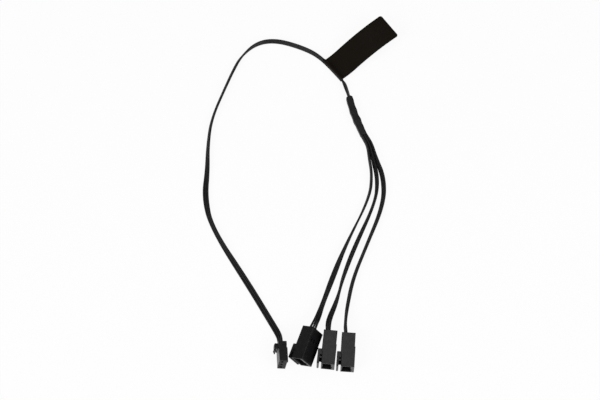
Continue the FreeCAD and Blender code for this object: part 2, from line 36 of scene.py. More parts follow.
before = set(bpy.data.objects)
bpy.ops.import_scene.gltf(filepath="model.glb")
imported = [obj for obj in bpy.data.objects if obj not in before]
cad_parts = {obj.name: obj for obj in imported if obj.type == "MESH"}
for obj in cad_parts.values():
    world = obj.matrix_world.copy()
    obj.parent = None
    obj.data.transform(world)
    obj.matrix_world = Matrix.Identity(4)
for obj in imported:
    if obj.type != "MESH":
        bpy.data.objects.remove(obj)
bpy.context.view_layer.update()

BODY = "root"
NUMBERS = (1, 2, 3)
SOCKETS = ("left", "middle", "right")
WIRE_PLACES = (-1, 0, 1)
UP = Vector((0.0, 0.0, 1.0))

# Routes of the flat leads from the splice to a connector. A row has x, y, the height of the middle wire, the
# lean of the wires from upright in degrees, and how far they have spread, from 0 in the flat to 1 at the
# contacts. The last row is the end in the middle contact.
LONG_ROUTE = (
    (0.0091, 0.0493, 0.0019, 0, 0.0),
    (0.0073, 0.0576, 0.0019, 18, 0.0),
    (0.0058, 0.0630, 0.0018, 36, 0.0),
    (0.0045, 0.0671, 0.0019, 36, 0.0),
    (0.0034, 0.0691, 0.0019, 2, 0.0),
    (-0.0094, 0.0848, 0.0019, -12, 0.0),
    (-0.0209, 0.0912, 0.0018, -14, 0.0),
    (-0.0357, 0.0959, 0.00167, -13, 0.0),
    (-0.0472, 0.0938, 0.00167, -5, 0.0),
    (-0.0562, 0.0845, 0.0016, 27, 0.0),
    (-0.0604, 0.0752, 0.0016, 26, 0.0),
    (-0.0640, 0.0660, 0.0016, 23, 0.0),
    (-0.0723, 0.0435, 0.00166, 19, 0.0),
    (-0.0739, 0.0261, 0.0016, 24, 0.0),
    (-0.0737, 0.0105, 0.0014, 48, 0.0),
    (-0.0748, -0.0057, 0.0011, 84, 0.0),
    (-0.0704, -0.0247, 0.0015, 18, 0.0),
    (-0.0491, -0.0585, 0.0010, 80, 0.0),
    (-0.0367, -0.0798, 0.0011, 86, 0.02),
    (-0.0329, -0.0866, 0.0020, 72, 0.03),
    (-0.03178, -0.09033, 0.00373, 38, 0.1),
    (-0.03145, -0.09669, 0.00543, 10.5, 1.0),
)
LEFT_ROUTE = (
    (0.01135, 0.0393, 0.0019, 0, 0.0),
    (0.0142, 0.0323, 0.0019, 0, 0.0),
    (0.0173, 0.0266, 0.0018, 2, 0.0),
    (0.0181, 0.0185, 0.0017, 5, 0.0),
    (0.0195, 0.0085, 0.00167, 9, 0.0),
    (0.0181, -0.0060, 0.00167, 20, 0.0),
    (0.0041, -0.0350, 0.00166, -6, 0.0),
    (-0.0028, -0.0525, 0.0012, -58, 0.0),
    (-0.0087, -0.0690, 0.0022, -24, 0.0),
    (-0.0114, -0.0777, 0.0045, -62, 0.03),
    (-0.0134, -0.0826, 0.00646, -46, 0.2),
    (-0.01593, -0.08872, 0.00646, -33, 1.0),
)
MIDDLE_ROUTE = (
    (0.0123, 0.0397, 0.0019, 0, 0.0),
    (0.0153, 0.0328, 0.0019, 0, 0.0),
    (0.0185, 0.0269, 0.0018, 5, 0.0),
    (0.0201, 0.0180, 0.0017, 16, 0.0),
    (0.02275, 0.0055, 0.0016, 32, 0.0),
    (0.0212, -0.0090, 0.0016, 12, 0.0),
    (0.00835, -0.0375, 0.0013, 46, 0.0),
    (0.0024, -0.0540, 0.0016, 30, 0.0),
    (0.0004, -0.0617, 0.0017, 8, 0.0),
    (-0.0019, -0.0695, 0.0021, 42, 0.0),
    (-0.0054, -0.0784, 0.0037, 62, 0.0),
    (-0.0062, -0.0833, 0.00495, 34, 0.3),
    (-0.00593, -0.08988, 0.00495, 0, 1.0),
)
RIGHT_ROUTE = (
    (0.0134, 0.0401, 0.0019, 0, 0.0),
    (0.0164, 0.0333, 0.0019, 0, 0.0),
    (0.0198, 0.0272, 0.0018, 8, 0.0),
    (0.0218, 0.0186, 0.0017, 22, 0.0),
    (0.0262, 0.0060, 0.0015, 40, 0.0),
    (0.02565, -0.0105, 0.0015, 36, 0.0),
    (0.0149, -0.0370, 0.0016, 22, 0.0),
    (0.0077, -0.0550, 0.0016, 27, 0.0),
    (0.0043, -0.0715, 0.0022, 25, 0.0),
    (0.0033, -0.0797, 0.0038, 10, 0.0),
    (0.0030, -0.0847, 0.00495, 14, 0.3),
    (0.00379, -0.09129, 0.00495, 0, 1.0),
)

# Axis of the shrink sleeve, from the long lead to the branches
SLEEVE_AXIS = (
    (0.0073, 0.0576, 0.0019),
    (0.0091, 0.0493, 0.0019),
    (0.01222, 0.0406, 0.0019),
    (0.0153, 0.0328, 0.0019),
)
# Middle of the label's wrap on the long lead, and the way that the lead runs through it
LABEL_MIDDLE = Vector((-0.00171, 0.07562, 0.00201))
LABEL_RUN = Vector((0.6166, -0.7873, 0.0))

# Lumps of the sleeve: middle and reach as shares of its length, and height as a share of the lump setting
SLEEVE_LUMPS = (
    (0.12, 0.04, 0.5),
    (0.38, 0.07, 1.0),
    (0.62, 0.07, 1.5),
    (0.80, 0.05, 0.4),
)
LUMP_ON_TOP = 0.4  # share of a lump that shows on the sleeve's upper side
BRANCH_DRAW_IN = 0.05  # share of its width that the film loses at the branches
STRAIGHTENING = 0.7  # share of the flag's length over which it straightens from the lead's curve

# How finely the pieces are divided
SPLINE_ORDER = 3
SPLINE_STEPS = 14
SLEEVE_STEPS = 64
SLEEVE_CORNER_STEPS = 6
SHOULDER_STEPS = 3  # rings of the sleeve to one shoulder's length
SHOULDER_RINGS = 5
LABEL_CELLS = (240, 36)
LABEL_WRAP_CELLS = 0.5  # share of the label's cells that go round the lead
LABEL_CELL_POWER = 1.6  # above 1 the cells grow finer towards the flag's rounded corners

# Finishes
NOISE_RANGE = (0.3, 0.7)  # where most of a noise pattern's values lie
EDGE_ROUND = 0.0003
GRAIN_DEPTH = 0.00004
STAIN_SHADE = 0.8

# Stage
WHITE = (1.0, 1.0, 1.0, 1.0)
FLOOR_HALF = 4.0
LAMP_PLACES = {"left_lamp": (-0.75, -0.60, 0.75), "right_lamp": (0.75, -0.60, 0.75)}
LAMP_SIZE = 0.7
PANEL_PLACE = (0.03, 0.22, 1.0)
PANEL_SIZE = 0.4
SENSOR_WIDTH = 36.0
NEAREST_SEEN = 0.01


def contact_nodes(connector):
    """Names of a connector's contacts."""
    return [f"{connector}_contact_{number}" for number in NUMBERS]


class LeadSettings(bpy.types.PropertyGroup):
    """Sizes of the flat leads."""

    wire_diameter: bpy.props.FloatProperty(
        name="Wire diameter",
        description="Outside diameter of one insulated wire",
        default=0.0012,
        min=0.0005,
        unit="LENGTH",
        precision=5,
    )
    wire_pitch: bpy.props.FloatProperty(
        name="Wire pitch",
        description="Middle to middle of neighbouring wires along a flat lead",
        default=0.00114,
        min=0.0005,
        unit="LENGTH",
        precision=5,
    )
    contact_pitch: bpy.props.FloatProperty(
        name="Contact pitch",
        description="Middle to middle of neighbouring wires where they enter a connector",
        default=0.0025,
        min=0.001,
        unit="LENGTH",
        precision=5,
    )
    wire_sides: bpy.props.IntProperty(
        name="Wire sides",
        description="Number of sides of a wire's mesh tube",
        default=14,
        min=6,
    )


class SleeveSettings(bpy.types.PropertyGroup):
    """Sizes of the shrink sleeve."""

    half_width: bpy.props.FloatProperty(
        name="Half width",
        description="Half of the sleeve's outside width, across the branches",
        default=0.00192,
        unit="LENGTH",
        precision=5,
    )
    half_height: bpy.props.FloatProperty(
        name="Half height",
        description="Half of the sleeve's outside height",
        default=0.00186,
        unit="LENGTH",
        precision=5,
    )
    corner: bpy.props.FloatProperty(
        name="Corner",
        description="Radius of the sleeve's rounded long edges",
        default=0.0008,
        unit="LENGTH",
        precision=5,
    )
    film: bpy.props.FloatProperty(
        name="Film",
        description="Thickness of the shrunk film",
        default=0.0002,
        unit="LENGTH",
        precision=5,
    )
    lump: bpy.props.FloatProperty(
        name="Lump",
        description="How far the film stands out over a soldered joint",
        default=0.00022,
        unit="LENGTH",
        precision=5,
    )
    draw_in: bpy.props.FloatProperty(
        name="Draw in",
        description="Share of its width that the film loses at the end on the long lead",
        default=0.4,
        min=0.0,
        max=0.6,
    )
    shoulder: bpy.props.FloatProperty(
        name="Shoulder",
        description="Length over which the film draws in",
        default=0.0004,
        unit="LENGTH",
        precision=5,
    )


class LabelSettings(bpy.types.PropertyGroup):
    """Sizes of the folded flag label."""

    width: bpy.props.FloatProperty(
        name="Width",
        description="Size of the label along the lead",
        default=0.0164,
        unit="LENGTH",
        precision=5,
    )
    length: bpy.props.FloatProperty(
        name="Length",
        description="Length of the flag beside the lead",
        default=0.0420,
        unit="LENGTH",
        precision=5,
    )
    film: bpy.props.FloatProperty(
        name="Film",
        description="Thickness of one layer",
        default=0.00012,
        unit="LENGTH",
        precision=5,
    )
    clear: bpy.props.FloatProperty(
        name="Clear",
        description="Gap from a wire to the middle of the film round it",
        default=0.0002,
        unit="LENGTH",
        precision=5,
    )
    pinch: bpy.props.FloatProperty(
        name="Pinch",
        description="Radius with which the layers come together beside the lead",
        default=0.00035,
        unit="LENGTH",
        precision=5,
    )
    level: bpy.props.FloatProperty(
        name="Level",
        description="Level part of the flag beside the lead",
        default=0.0005,
        unit="LENGTH",
        precision=5,
    )
    bend: bpy.props.FloatProperty(
        name="Bend",
        description="Radius with which the flag turns up",
        default=0.0253,
        unit="LENGTH",
        precision=5,
    )
    rise: bpy.props.FloatProperty(
        name="Rise",
        description="Slope of the flag after its bend",
        default=math.radians(20.4),
        subtype="ANGLE",
    )
    arch: bpy.props.FloatProperty(
        name="Arch",
        description="Radius with which the flag levels off towards its far end",
        default=0.0826,
        unit="LENGTH",
        precision=5,
    )
    twist: bpy.props.FloatProperty(
        name="Twist",
        description="Turn of the flag's far end about its length",
        default=math.radians(5.7),
        subtype="ANGLE",
    )
    corner: bpy.props.FloatProperty(
        name="Corner",
        description="Radius of the flag's far corners",
        default=0.0014,
        unit="LENGTH",
        precision=5,
    )


class FinishSettings(bpy.types.PropertyGroup):
    """Colours of the pieces."""

    housing: bpy.props.FloatVectorProperty(
        name="Housing",
        description="Moulded plastic of the connector housings",
        subtype="COLOR",
        default=(0.0052, 0.0052, 0.0058),
        min=0.0,
        max=1.0,
    )
    lead: bpy.props.FloatVectorProperty(
        name="Lead",
        description="Soft plastic skin of the wires",
        subtype="COLOR",
        default=(0.0050, 0.0050, 0.0054),
        min=0.0,
        max=1.0,
    )
    film: bpy.props.FloatVectorProperty(
        name="Shrink film",
        description="Film of the shrink sleeve and of the joint covers",
        subtype="COLOR",
        default=(0.0046, 0.0046, 0.0051),
        min=0.0,
        max=1.0,
    )
    label: bpy.props.FloatVectorProperty(
        name="Label",
        description="Film of the flag label",
        subtype="COLOR",
        default=(0.0062, 0.0046, 0.0030),
        min=0.0,
        max=1.0,
    )
    metal: bpy.props.FloatVectorProperty(
        name="Contact metal",
        description="Tin plate of the contacts",
        subtype="COLOR",
        default=(0.62, 0.60, 0.56),
        min=0.0,
        max=1.0,
    )


class StageSettings(bpy.types.PropertyGroup):
    """Floor, light and camera."""

    floor: bpy.props.FloatVectorProperty(
        name="Floor",
        description="Colour of the floor",
        subtype="COLOR",
        default=(0.88, 0.88, 0.88),
        min=0.0,
        max=1.0,
    )
    glow: bpy.props.FloatProperty(
        name="Glow",
        description="Share of plain white in the floor that the camera sees",
        default=0.92,
        min=0.0,
        max=1.0,
    )
    elevation: bpy.props.FloatProperty(
        name="Elevation",
        description="Camera above the horizon",
        default=math.radians(66.0),
        subtype="ANGLE",
    )
    distance: bpy.props.FloatProperty(
        name="Distance",
        description="Camera from the point that it looks at",
        default=0.75,
        unit="LENGTH",
    )
    lens: bpy.props.FloatProperty(
        name="Lens",
        description="Focal length on a 36 mm sensor",
        default=80.0,
        subtype="DISTANCE_CAMERA",
    )
    target: bpy.props.FloatVectorProperty(
        name="Target",
        description="Point that the camera looks at",
        default=(-0.0212, -0.0070, 0.0),
        subtype="XYZ",
        unit="LENGTH",
    )
    sky: bpy.props.FloatProperty(
        name="Sky",
        description="Strength of the sky overhead",
        default=0.45,
        min=0.0,
    )
    horizon: bpy.props.FloatProperty(
        name="Horizon",
        description="Strength of the sky at the horizon",
        default=0.1,
        min=0.0,
    )
    lamp: bpy.props.FloatProperty(
        name="Lamp",
        description="Power of each of the two soft lamps in front",
        default=6.5,
        min=0.0,
    )
    panel: bpy.props.FloatProperty(
        name="Panel",
        description="Power of the panel that shows in level faces",
        default=0.9,
        min=0.0,
    )


class CableSettings(bpy.types.PropertyGroup):
    """Everything that a user would change."""

    lead: bpy.props.PointerProperty(type=LeadSettings)
    sleeve: bpy.props.PointerProperty(type=SleeveSettings)
    label: bpy.props.PointerProperty(type=LabelSettings)
    finish: bpy.props.PointerProperty(type=FinishSettings)
    stage: bpy.props.PointerProperty(type=StageSettings)


def settings():
    """The scene's settings for the cable."""
    return bpy.context.scene.splitter_cable


def new_object(name, data):
    """Links a mesh, a curve, a light or a camera into the scene as an object at the origin."""
    piece = bpy.data.objects.new(name, data)
    bpy.context.scene.collection.objects.link(piece)
    return piece


def mesh_object(name, bm, material):
    """Turns a finished bmesh into an object with one material."""
    mesh = bpy.data.meshes.new(name)
    bm.to_mesh(mesh)
    bm.free()
    mesh.materials.append(material)
    return new_object(name, mesh)


def add_wall(piece, thickness, offset):
    """Gives a film its thickness: inwards with an offset of -1, to both sides with 0."""
    wall = piece.modifiers.new("wall", "SOLIDIFY")
    wall.thickness = thickness
    wall.offset = offset


def spline_points(rows):
    """Points along a NURBS spline whose control points are the rows."""
    curve = bpy.data.curves.new("route", "CURVE")
    curve.dimensions = "3D"
    curve.resolution_u = SPLINE_STEPS
    spline = curve.splines.new("NURBS")
    spline.points.add(len(rows) - 1)
    for point, row in zip(spline.points, rows):
        point.co = (*row, 1.0)
    spline.order_u = SPLINE_ORDER
    spline.use_endpoint_u = True
    holder = new_object("route", curve)
    bpy.context.view_layer.update()
    mesh = bpy.data.meshes.new_from_object(holder)
    points = [vertex.co.copy() for vertex in mesh.vertices]
    bpy.data.objects.remove(holder)
    bpy.data.meshes.remove(mesh)
    bpy.data.curves.remove(curve)
    return points


def tangents(points):
    """Direction of a line at each of its points."""
    ends = zip(points[:1] + points[:-1], points[1:] + points[-1:])
    return [(after - before).normalized() for before, after in ends]


def extrude_round(bm, centres, radius, sides):
    """Extrudes a capped circle along a line, with no turn about it."""
    frames = []
    for centre, along in zip(centres, tangents(centres)):
        across = UP.cross(along).normalized()
        rise = along.cross(across)
        turn = Matrix((across, rise, along)).transposed().to_4x4()
        frames.append(Matrix.Translation(centre) @ turn)
    made = bmesh.ops.create_circle(bm, cap_ends=True, segments=sides, radius=radius, matrix=frames[0])
    ring = {edge for vertex in made["verts"] for edge in vertex.link_edges}
    for before, after in zip(frames, frames[1:]):
        grown = bmesh.ops.extrude_edge_only(bm, edges=list(ring))["geom"]
        vertices = [part for part in grown if isinstance(part, bmesh.types.BMVert)]
        bmesh.ops.transform(bm, matrix=after @ before.inverted(), verts=vertices)
        fresh = set(vertices)
        ring = {
            part
            for part in grown
            if isinstance(part, bmesh.types.BMEdge) and all(vertex in fresh for vertex in part.verts)
        }
    bmesh.ops.contextual_create(bm, geom=list(ring))


def wire_lines(route):
    """The path of a lead, and the lines of its three wires as they lean, twist and spread along it."""
    sizes = settings().lead
    path = spline_points([row[:3] for row in route])
    widening = sizes.contact_pitch - sizes.wire_pitch
    leans = spline_points(
        [(math.radians(lean), sizes.wire_pitch + widening * wide, 0.0) for *_, lean, wide in route]
    )
    lowest = sizes.wire_diameter / 2
    lines = [[] for _ in WIRE_PLACES]
    for point, along, (lean, pitch, _) in zip(path, tangents(path), leans):
        side = UP.cross(along).normalized()
        rise = along.cross(side)
        row = rise * math.cos(lean) + side * math.sin(lean)
        for line, place in zip(lines, WIRE_PLACES):
            centre = point + row * (pitch * place)
            centre.z = max(centre.z, lowest)
            line.append(centre)
    return path, lines


def run_length(points):
    """Length along a line of points."""
    return sum((after - before).length for before, after in zip(points, points[1:]))


def along_line(points, distance):
    """The point at a distance along a line of points, and the direction there."""
    left = distance
    for before, after in zip(points, points[1:]):
        step = (after - before).length
        towards = (after - before) / step
        if left <= step:
            return before + towards * left, towards
        left -= step
    return points[-1], towards


def flat_lead(name, route, node, skin):
    sizes = settings().lead
    path, lines = wire_lines(route)
    bm = bmesh.new()
    for line in lines:
        extrude_round(bm, line, sizes.wire_diameter / 2, sizes.wire_sides)
    bmesh.ops.recalc_face_normals(bm, faces=bm.faces[:])
    for face in bm.faces:
        face.smooth = len(face.verts) == 4
    piece = mesh_object(name, bm, skin)
    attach(piece, BODY)
    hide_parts(node)


def finish_nodes(name):
    """A new material with its node tree, shader and object coordinates."""
    material = bpy.data.materials.new(name)
    material.use_nodes = True
    tree = material.node_tree
    shader = tree.nodes["Principled BSDF"]
    place = tree.nodes.new("ShaderNodeTexCoord")
    return material, tree, shader, place.outputs["Object"]


def noise(tree, place, scale, detail=2.0, stretch=None):
    """A noise pattern on the object's coordinates, with its grain stretched where asked."""
    if stretch is not None:
        mapping = tree.nodes.new("ShaderNodeMapping")
        mapping.inputs["Scale"].default_value = stretch
        tree.links.new(place, mapping.inputs["Vector"])
        place = mapping.outputs["Vector"]
    pattern = tree.nodes.new("ShaderNodeTexNoise")
    pattern.inputs["Scale"].default_value = scale
    pattern.inputs["Detail"].default_value = detail
    tree.links.new(place, pattern.inputs["Vector"])
    return pattern.outputs["Fac"]


def spread(tree, value, low, high):
    """A pattern's value mapped to a range."""
    ramp = tree.nodes.new("ShaderNodeMapRange")
    ramp.inputs["From Min"].default_value, ramp.inputs["From Max"].default_value = NOISE_RANGE
    ramp.inputs["To Min"].default_value = low
    ramp.inputs["To Max"].default_value = high
    tree.links.new(value, ramp.inputs["Value"])
    return ramp.outputs["Result"]


def tinted(tree, value, colour, gain):
    """A colour that varies to a lighter one with a pattern."""
    mix = tree.nodes.new("ShaderNodeMix")
    mix.data_type = "RGBA"
    mix.inputs["A"].default_value = (*colour, 1.0)
    mix.inputs["B"].default_value = (*[min(1.0, part * gain) for part in colour], 1.0)
    tree.links.new(value, mix.inputs["Factor"])
    return mix.outputs["Result"]


def bumped(tree, value, strength, distance, under=None):
    """A bump from a pattern, over another normal where one is given."""
    bump = tree.nodes.new("ShaderNodeBump")
    bump.inputs["Strength"].default_value = strength
    bump.inputs["Distance"].default_value = distance
    tree.links.new(value, bump.inputs["Height"])
    if under is not None:
        tree.links.new(under, bump.inputs["Normal"])
    return bump.outputs["Normal"]


def link_patterns(tree, shader, normal, roughness, colour):
    """Links a finish's bump, gloss and colour to its shader."""
    tree.links.new(normal, shader.inputs["Normal"])
    tree.links.new(roughness, shader.inputs["Roughness"])
    tree.links.new(colour, shader.inputs["Base Color"])


def moulded_plastic(name, colour):
    """Black moulded plastic: fine sparked grain, faint patches of gloss and softened edges."""
    material, tree, shader, place = finish_nodes(name)
    edge = tree.nodes.new("ShaderNodeBevel")
    edge.samples = 4
    edge.inputs["Radius"].default_value = EDGE_ROUND
    grain = noise(tree, place, scale=5200.0, detail=3.0)
    patches = noise(tree, place, scale=420.0)
    link_patterns(
        tree,
        shader,
        normal=bumped(tree, grain, strength=0.16, distance=GRAIN_DEPTH, under=edge.outputs["Normal"]),
        roughness=spread(tree, patches, low=0.3, high=0.36),
        colour=tinted(tree, patches, colour, gain=1.9),
    )
    shader.inputs["IOR"].default_value = 1.52
    shader.inputs["Specular IOR Level"].default_value = 0.24
    return material


def wire_skin(name, colour):
    """Soft black skin of the wires: satin, with a fine grain and dull patches."""
    material, tree, shader, place = finish_nodes(name)
    grain = noise(tree, place, scale=3800.0, detail=3.0)
    patches = noise(tree, place, scale=260.0)
    link_patterns(
        tree,
        shader,
        normal=bumped(tree, grain, strength=0.14, distance=GRAIN_DEPTH),
        roughness=spread(tree, patches, low=0.36, high=0.54),
        colour=tinted(tree, patches, colour, gain=1.8),
    )
    shader.inputs["Specular IOR Level"].default_value = 0.25
    return material


def shrunk_film(name, colour):
    """Black shrink film: satin, with soft puckers over what it holds."""
    material, tree, shader, place = finish_nodes(name)
    puckers = noise(tree, place, scale=900.0)
    grain = noise(tree, place, scale=4200.0, detail=3.0)
    soft = bumped(tree, puckers, strength=0.35, distance=0.00012)
    link_patterns(
        tree,
        shader,
        normal=bumped(tree, grain, strength=0.12, distance=GRAIN_DEPTH, under=soft),
        roughness=spread(tree, puckers, low=0.38, high=0.56),
        colour=tinted(tree, puckers, colour, gain=1.7),
    )
    shader.inputs["Specular IOR Level"].default_value = 0.25
    return material


def label_film(name, colour):
    """Warm black label film: satin, with a shallow ripple and a fine grain."""
    material, tree, shader, place = finish_nodes(name)
    ripple = noise(tree, place, scale=120.0, detail=1.0)
    grain = noise(tree, place, scale=2600.0, detail=3.0)
    soft = bumped(tree, ripple, strength=0.25, distance=0.0006)
    link_patterns(
        tree,
        shader,
        normal=bumped(tree, grain, strength=0.1, distance=0.00005, under=soft),
        roughness=spread(tree, ripple, low=0.42, high=0.58),
        colour=tinted(tree, grain, colour, gain=1.5),
    )
    shader.inputs["Specular IOR Level"].default_value = 0.05
    return material


def tin_plate(name, colour):
    """Tin-plated contact metal: bright, with a rolled grain and dull stains."""
    material, tree, shader, place = finish_nodes(name)
    grain = noise(tree, place, scale=5000.0, stretch=(1.0, 0.12, 1.0))
    stains = noise(tree, place, scale=700.0)
    link_patterns(
        tree,
        shader,
        normal=bumped(tree, grain, strength=0.12, distance=0.00003),
        roughness=spread(tree, stains, low=0.24, high=0.46),
        colour=tinted(tree, stains, [part * STAIN_SHADE for part in colour], gain=1 / STAIN_SHADE),
    )
    shader.inputs["Metallic"].default_value = 1.0
    return material


def dress(names, material):
    """Gives CAD nodes a finish."""
    for name in names:
        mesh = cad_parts[name].data
        mesh.materials.clear()
        mesh.materials.append(material)


class SPLITTER_OT_stage(bpy.types.Operator):
    """Makes the pale floor, the soft light and the camera"""

    bl_idname = "splitter.stage"
    bl_label = "Stage"

    def execute(self, context):
        values = settings().stage
        self.make_floor(values)
        self.make_light(context, values)
        self.make_camera(context, values)
        context.scene.view_settings.view_transform = "Standard"
        return {"FINISHED"}

    def make_floor(self, values):
        """A wide plain floor that shows white to the camera and keeps the shadow."""
        bm = bmesh.new()
        bmesh.ops.create_grid(bm, x_segments=1, y_segments=1, size=FLOOR_HALF)
        material, tree, shader, place = finish_nodes("floor_paper")
        shader.inputs["Base Color"].default_value = (*values.floor, 1.0)
        fibres = noise(tree, place, scale=60.0)
        tree.links.new(spread(tree, fibres, low=0.85, high=0.95), shader.inputs["Roughness"])
        shader.inputs["Specular IOR Level"].default_value = 0.0
        rays = tree.nodes.new("ShaderNodeLightPath")
        seen = rays.outputs["Is Camera Ray"]
        for kind in ("Is Glossy Ray", "Is Transmission Ray"):
            either = tree.nodes.new("ShaderNodeMath")
            either.operation = "MAXIMUM"
            tree.links.new(seen, either.inputs[0])
            tree.links.new(rays.outputs[kind], either.inputs[1])
            seen = either.outputs["Value"]
        share = tree.nodes.new("ShaderNodeMath")
        share.operation = "MULTIPLY"
        share.inputs[1].default_value = values.glow
        tree.links.new(seen, share.inputs[0])
        glow = tree.nodes.new("ShaderNodeEmission")
        glow.inputs["Color"].default_value = WHITE
        mix = tree.nodes.new("ShaderNodeMixShader")
        tree.links.new(share.outputs["Value"], mix.inputs["Fac"])
        tree.links.new(shader.outputs["BSDF"], mix.inputs[1])
        tree.links.new(glow.outputs["Emission"], mix.inputs[2])
        tree.links.new(mix.outputs["Shader"], tree.nodes["Material Output"].inputs["Surface"])
        mesh_object("floor", bm, material)

    def make_light(self, context, values):
        """A sky that dims to the horizon, two soft lamps in front, and a panel that level faces mirror."""
        world = bpy.data.worlds.new("sky")
        world.use_nodes = True
        tree = world.node_tree
        background = tree.nodes["Background"]
        background.inputs["Color"].default_value = WHITE
        view = tree.nodes.new("ShaderNodeTexCoord")
        parts = tree.nodes.new("ShaderNodeSeparateXYZ")
        fade = tree.nodes.new("ShaderNodeMapRange")
        fade.inputs["To Min"].default_value = values.horizon
        fade.inputs["To Max"].default_value = values.sky
        tree.links.new(view.outputs["Generated"], parts.inputs["Vector"])
        tree.links.new(parts.outputs["Z"], fade.inputs["Value"])
        tree.links.new(fade.outputs["Result"], background.inputs["Strength"])
        context.scene.world = world
        for name, place in LAMP_PLACES.items():
            self.make_lamp(name, place, LAMP_SIZE, values.lamp, values.target)
        self.make_lamp("panel", PANEL_PLACE, PANEL_SIZE, values.panel, values.target)

    def make_lamp(self, name, place, size, power, target):
        """One round lamp that looks at the object."""
        lamp = bpy.data.lights.new(name, "AREA")
        lamp.shape = "DISK"
        lamp.size = size
        lamp.energy = power
        holder = new_object(name, lamp)
        holder.location = place
        towards = Vector(target) - holder.location
        holder.rotation_euler = towards.to_track_quat("-Z", "Y").to_euler()

    def make_camera(self, context, values):
        """The camera at the photograph's angle."""
        camera = bpy.data.cameras.new("camera")
        camera.sensor_width = SENSOR_WIDTH
        camera.lens = values.lens
        camera.clip_start = NEAREST_SEEN
        holder = new_object("camera", camera)
        back = Vector((0.0, -math.cos(values.elevation), math.sin(values.elevation)))
        holder.location = Vector(values.target) + back * values.distance
        holder.rotation_euler = (-back).to_track_quat("-Z", "Y").to_euler()
        context.scene.camera = holder


class SPLITTER_OT_leads(bpy.types.Operator):
    """Makes the four flat leads of three wires each"""

    bl_idname = "splitter.leads"
    bl_label = "Flat leads"

    def execute(self, context):
        skin = wire_skin("wire_skin", settings().finish.lead)
        flat_lead("long_flat", LONG_ROUTE, "long_lead", skin)
        for side, route in zip(SOCKETS, (LEFT_ROUTE, MIDDLE_ROUTE, RIGHT_ROUTE)):
            flat_lead(f"{side}_flat", route, f"{side}_lead", skin)
        return {"FINISHED"}


class SPLITTER_OT_sleeve(bpy.types.Operator):
    """Makes the shrink sleeve over the splice"""

    bl_idname = "splitter.sleeve"
    bl_label = "Shrink sleeve"

    def execute(self, context):
        sizes = settings().sleeve
        axis = spline_points(SLEEVE_AXIS)
        length = run_length(axis)
        bm = bmesh.new()
        bmesh.ops.create_cube(bm, size=1.0)
        bmesh.ops.translate(bm, vec=(0.5, 0.0, 0.0), verts=bm.verts[:])
        bmesh.ops.scale(bm, vec=(length, 2 * sizes.half_width, 2 * sizes.half_height), verts=bm.verts[:])
        ends = [face for face in bm.faces if round(abs(face.normal.x)) == 1]
        bmesh.ops.delete(bm, geom=ends, context="FACES_ONLY")
        long_edges = [edge for edge in bm.edges if edge.verts[0].co.x != edge.verts[1].co.x]
        bmesh.ops.bevel(
            bm,
            geom=long_edges,
            offset=sizes.corner,
            offset_type="OFFSET",
            affect="EDGES",
            segments=SLEEVE_CORNER_STEPS,
            profile=0.5,
            material=-1,
        )
        cuts = [length * step / SLEEVE_STEPS for step in range(1, SLEEVE_STEPS)]
        cuts += [sizes.shoulder * step / SHOULDER_STEPS for step in range(1, SHOULDER_RINGS + 1)]
        for cut in cuts:
            bmesh.ops.bisect_plane(
                bm,
                geom=bm.verts[:] + bm.edges[:] + bm.faces[:],
                plane_co=(cut, 0.0, 0.0),
                plane_no=(1.0, 0.0, 0.0),
            )
        for vertex in bm.verts:
            across, up = self.shrunk(vertex.co, length, sizes)
            middle, towards = along_line(axis, vertex.co.x)
            vertex.co = middle + UP.cross(towards) * across + UP * up
        for face in bm.faces:
            face.smooth = True
        piece = mesh_object("shrink_sleeve", bm, shrunk_film("sleeve_film", settings().finish.film))
        add_wall(piece, sizes.film, offset=-1.0)
        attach(piece, BODY)
        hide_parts("splice_sleeve")
        return {"FINISHED"}

    def shrunk(self, place, length, sizes):
        """Place of a point across and up, where the film stands out over joints and draws in at its ends."""
        share = place.x / length
        narrow = 1.0 - sizes.draw_in * math.exp(-((place.x / sizes.shoulder) ** 2))
        narrow -= BRANCH_DRAW_IN * math.exp(-(((length - place.x) / sizes.shoulder) ** 2))
        out = 0.0
        for middle, reach, height in SLEEVE_LUMPS:
            out += sizes.lump * height * math.exp(-(((share - middle) / reach) ** 2))
        across = place.y * narrow + math.copysign(out, place.y)
        up = place.z
        if up > 0.0:
            up += out * LUMP_ON_TOP
        return across, up


